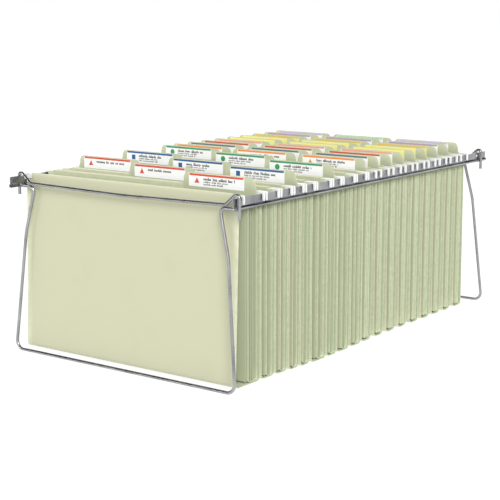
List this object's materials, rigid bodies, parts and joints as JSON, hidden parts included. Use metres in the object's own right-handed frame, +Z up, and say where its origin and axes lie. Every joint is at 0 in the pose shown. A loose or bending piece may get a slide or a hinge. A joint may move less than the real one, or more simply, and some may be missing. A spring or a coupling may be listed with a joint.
{
  "type": "hanging file rack",
  "caption": "Legal-size wire and strip rack for hanging file folders, filled with pale green hanging folders that slide on its rails and tabbed file folders that lift out.",
  "frame": {"origin": "on the floor under the middle of the rack", "axes": "+X to the right across the width, +Y along the length from the front end frame to the rear one, +Z up"},
  "size_m": [0.3948, 0.698, 0.27],
  "materials": {
    "frame_steel": "bright zinc plated, smooth",
    "folder_card": "matte pale green card",
    "file_card": "matte pale green card with paper labels on the tabs",
    "hook_coating": "smooth white coating over steel strip"
  },
  "bodies": {
    "frame": {"rail_right": "frame_steel", "rail_left": "frame_steel", "front_crossbar": "frame_steel", "front_leg_wire": "frame_steel", "rear_crossbar": "frame_steel", "rear_leg_wire": "frame_steel"},
    "folder_01": {"hanging_folder_01": "folder_card", "hanger_rods_01": "hook_coating"},
    "file_01": {"file_folder_01": "file_card"},
    "folder_02": {"hanging_folder_02": "folder_card", "hanger_rods_02": "hook_coating"},
    "file_02": {"file_folder_02": "file_card"},
    "folder_03": {"hanging_folder_03": "folder_card", "hanger_rods_03": "hook_coating"},
    "file_03": {"file_folder_03": "file_card"},
    "folder_04": {"hanging_folder_04": "folder_card", "hanger_rods_04": "hook_coating"},
    "file_04": {"file_folder_04": "file_card"},
    "folder_05": {"hanging_folder_05": "folder_card", "hanger_rods_05": "hook_coating"},
    "file_05": {"file_folder_05": "file_card"},
    "folder_06": {"hanging_folder_06": "folder_card", "hanger_rods_06": "hook_coating"},
    "file_06": {"file_folder_06": "file_card"},
    "folder_07": {"hanging_folder_07": "folder_card", "hanger_rods_07": "hook_coating"},
    "file_07": {"file_folder_07": "file_card"},
    "folder_08": {"hanging_folder_08": "folder_card", "hanger_rods_08": "hook_coating"},
    "file_08": {"file_folder_08": "file_card"},
    "folder_09": {"hanging_folder_09": "folder_card", "hanger_rods_09": "hook_coating"},
    "file_09": {"file_folder_09": "file_card"},
    "folder_10": {"hanging_folder_10": "folder_card", "hanger_rods_10": "hook_coating"},
    "file_10": {"file_folders_10": "file_card"},
    "folder_11": {"hanging_folder_11": "folder_card", "hanger_rods_11": "hook_coating"},
    "file_11": {"file_folders_11": "file_card"},
    "folder_12": {"hanging_folder_12": "folder_card", "hanger_rods_12": "hook_coating"},
    "file_12": {"file_folders_12": "file_card"},
    "folder_13": {"hanging_folder_13": "folder_card", "hanger_rods_13": "hook_coating"},
    "file_13": {"file_folders_13": "file_card"},
    "folder_14": {"hanging_folder_14": "folder_card", "hanger_rods_14": "hook_coating"},
    "file_14": {"file_folders_14": "file_card"},
    "folder_15": {"hanging_folder_15": "folder_card", "hanger_rods_15": "hook_coating"},
    "file_15": {"file_folders_15": "file_card"},
    "folder_16": {"hanging_folder_16": "folder_card", "hanger_rods_16": "hook_coating"},
    "file_16": {"file_folders_16": "file_card"},
    "folder_17": {"hanging_folder_17": "folder_card", "hanger_rods_17": "hook_coating"},
    "file_17": {"file_folders_17": "file_card"},
    "folder_18": {"hanging_folder_18": "folder_card", "hanger_rods_18": "hook_coating"},
    "file_18": {"file_folders_18": "file_card"}
  },
  "joints": [
    {"name": "folder_01_slide", "type": "slide", "parent": "frame", "child": "folder_01", "axis": [0, 1, 0], "range_m": [-0.0032, 0]},
    {"name": "file_01_lift", "type": "slide", "parent": "folder_01", "child": "file_01", "axis": [0, 0, 1], "range_m": [0, 0.27]},
    {"name": "folder_02_slide", "type": "slide", "parent": "frame", "child": "folder_02", "axis": [0, 1, 0], "range_m": [-0.0017, 0]},
    {"name": "file_02_lift", "type": "slide", "parent": "folder_02", "child": "file_02", "axis": [0, 0, 1], "range_m": [0, 0.27]},
    {"name": "folder_03_slide", "type": "slide", "parent": "frame", "child": "folder_03", "axis": [0, 1, 0], "range_m": [-0.0017, 0]},
    {"name": "file_03_lift", "type": "slide", "parent": "folder_03", "child": "file_03", "axis": [0, 0, 1], "range_m": [0, 0.27]},
    {"name": "folder_04_slide", "type": "slide", "parent": "frame", "child": "folder_04", "axis": [0, 1, 0], "range_m": [-0.0017, 0]},
    {"name": "file_04_lift", "type": "slide", "parent": "folder_04", "child": "file_04", "axis": [0, 0, 1], "range_m": [0, 0.27]},
    {"name": "folder_05_slide", "type": "slide", "parent": "frame", "child": "folder_05", "axis": [0, 1, 0], "range_m": [-0.0017, 0]},
    {"name": "file_05_lift", "type": "slide", "parent": "folder_05", "child": "file_05", "axis": [0, 0, 1], "range_m": [0, 0.27]},
    {"name": "folder_06_slide", "type": "slide", "parent": "frame", "child": "folder_06", "axis": [0, 1, 0], "range_m": [-0.0017, 0]},
    {"name": "file_06_lift", "type": "slide", "parent": "folder_06", "child": "file_06", "axis": [0, 0, 1], "range_m": [0, 0.27]},
    {"name": "folder_07_slide", "type": "slide", "parent": "frame", "child": "folder_07", "axis": [0, 1, 0], "range_m": [-0.0017, 0]},
    {"name": "file_07_lift", "type": "slide", "parent": "folder_07", "child": "file_07", "axis": [0, 0, 1], "range_m": [0, 0.27]},
    {"name": "folder_08_slide", "type": "slide", "parent": "frame", "child": "folder_08", "axis": [0, 1, 0], "range_m": [-0.0017, 0]},
    {"name": "file_08_lift", "type": "slide", "parent": "folder_08", "child": "file_08", "axis": [0, 0, 1], "range_m": [0, 0.27]},
    {"name": "folder_09_slide", "type": "slide", "parent": "frame", "child": "folder_09", "axis": [0, 1, 0], "range_m": [-0.0017, 0]},
    {"name": "file_09_lift", "type": "slide", "parent": "folder_09", "child": "file_09", "axis": [0, 0, 1], "range_m": [0, 0.27]},
    {"name": "folder_10_slide", "type": "slide", "parent": "frame", "child": "folder_10", "axis": [0, 1, 0], "range_m": [-0.0017, 0]},
    {"name": "file_10_lift", "type": "slide", "parent": "folder_10", "child": "file_10", "axis": [0, 0, 1], "range_m": [0, 0.27]},
    {"name": "folder_11_slide", "type": "slide", "parent": "frame", "child": "folder_11", "axis": [0, 1, 0], "range_m": [-0.0061, 0]},
    {"name": "file_11_lift", "type": "slide", "parent": "folder_11", "child": "file_11", "axis": [0, 0, 1], "range_m": [0, 0.27]},
    {"name": "folder_12_slide", "type": "slide", "parent": "frame", "child": "folder_12", "axis": [0, 1, 0], "range_m": [-0.0061, 0]},
    {"name": "file_12_lift", "type": "slide", "parent": "folder_12", "child": "file_12", "axis": [0, 0, 1], "range_m": [0, 0.27]},
    {"name": "folder_13_slide", "type": "slide", "parent": "frame", "child": "folder_13", "axis": [0, 1, 0], "range_m": [-0.0061, 0]},
    {"name": "file_13_lift", "type": "slide", "parent": "folder_13", "child": "file_13", "axis": [0, 0, 1], "range_m": [0, 0.27]},
    {"name": "folder_14_slide", "type": "slide", "parent": "frame", "child": "folder_14", "axis": [0, 1, 0], "range_m": [-0.0061, 0]},
    {"name": "file_14_lift", "type": "slide", "parent": "folder_14", "child": "file_14", "axis": [0, 0, 1], "range_m": [0, 0.27]},
    {"name": "folder_15_slide", "type": "slide", "parent": "frame", "child": "folder_15", "axis": [0, 1, 0], "range_m": [-0.0061, 0]},
    {"name": "file_15_lift", "type": "slide", "parent": "folder_15", "child": "file_15", "axis": [0, 0, 1], "range_m": [0, 0.27]},
    {"name": "folder_16_slide", "type": "slide", "parent": "frame", "child": "folder_16", "axis": [0, 1, 0], "range_m": [-0.0061, 0]},
    {"name": "file_16_lift", "type": "slide", "parent": "folder_16", "child": "file_16", "axis": [0, 0, 1], "range_m": [0, 0.27]},
    {"name": "folder_17_slide", "type": "slide", "parent": "frame", "child": "folder_17", "axis": [0, 1, 0], "range_m": [-0.0061, 0]},
    {"name": "file_17_lift", "type": "slide", "parent": "folder_17", "child": "file_17", "axis": [0, 0, 1], "range_m": [0, 0.27]},
    {"name": "folder_18_slide", "type": "slide", "parent": "frame", "child": "folder_18", "axis": [0, 1, 0], "range_m": [-0.0061, 0.0429]},
    {"name": "file_18_lift", "type": "slide", "parent": "folder_18", "child": "file_18", "axis": [0, 0, 1], "range_m": [0, 0.27]}
  ]
}
